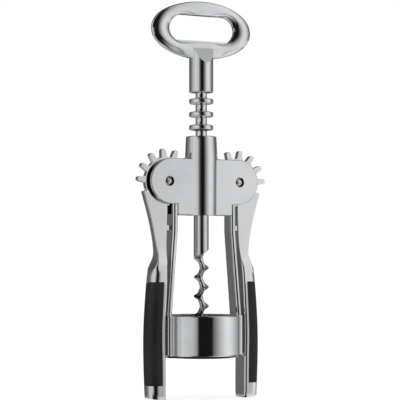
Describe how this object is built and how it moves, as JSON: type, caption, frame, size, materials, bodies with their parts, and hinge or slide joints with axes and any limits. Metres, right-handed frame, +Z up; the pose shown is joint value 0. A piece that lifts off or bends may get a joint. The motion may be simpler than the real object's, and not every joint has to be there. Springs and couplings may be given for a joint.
{
  "type": "wing corkscrew",
  "caption": "Wing corkscrew: oval handle on a ring rack and worm, toothed wings with black grips, and a slotted frame with a bell that seats on a bottle.",
  "frame": {"origin": "on the spindle axis, level with the tips of the lowered wings, at the centre of the bottom of the part's box", "axes": "+Z up along the spindle towards the handle, X across the two wings, -Y the front"},
  "size_m": [0.0704, 0.0376, 0.1945],
  "materials": {
    "cast_chrome": "polished chrome plating on a die casting",
    "worm_steel": "plated steel, polished less than the castings",
    "pin_steel": "turned steel, bare",
    "grip_black": "satin black moulding"
  },
  "bodies": {
    "frame_body": {"frame": "cast_chrome", "pivot_pin_left": "pin_steel", "pivot_pin_right": "pin_steel"},
    "rack": {"rack_sleeve": "cast_chrome"},
    "spindle": {"handle": "cast_chrome", "worm": "worm_steel"},
    "left_wing": {"wing_left": "cast_chrome", "grip_left": "grip_black"},
    "right_wing": {"wing_right": "cast_chrome", "grip_right": "grip_black"}
  },
  "joints": [
    {"name": "left_wing_swing", "type": "hinge", "parent": "frame_body", "child": "left_wing", "pos_m": [-0.0194, 0, 0.1059], "axis": [0, 1, 0], "range_deg": [0, 144]},
    {"name": "right_wing_swing", "type": "hinge", "parent": "frame_body", "child": "right_wing", "pos_m": [0.0194, 0, 0.1059], "axis": [0, -1, 0], "range_deg": [0, 144]},
    {"name": "rack_lift", "type": "slide", "parent": "frame_body", "child": "rack", "axis": [0, 0, -1], "range_m": [0, 0.0352]},
    {"name": "spindle_turn", "type": "hinge", "parent": "rack", "child": "spindle", "pos_m": [0, 0, 0.1059], "axis": [0, 0, 1], "continuous": true}
  ],
  "couplings": [
    {"joint": "right_wing_swing", "follows": "left_wing_swing", "ratio": 1},
    {"joint": "rack_lift", "follows": "left_wing_swing", "m_per_rad": 0.014}
  ]
}
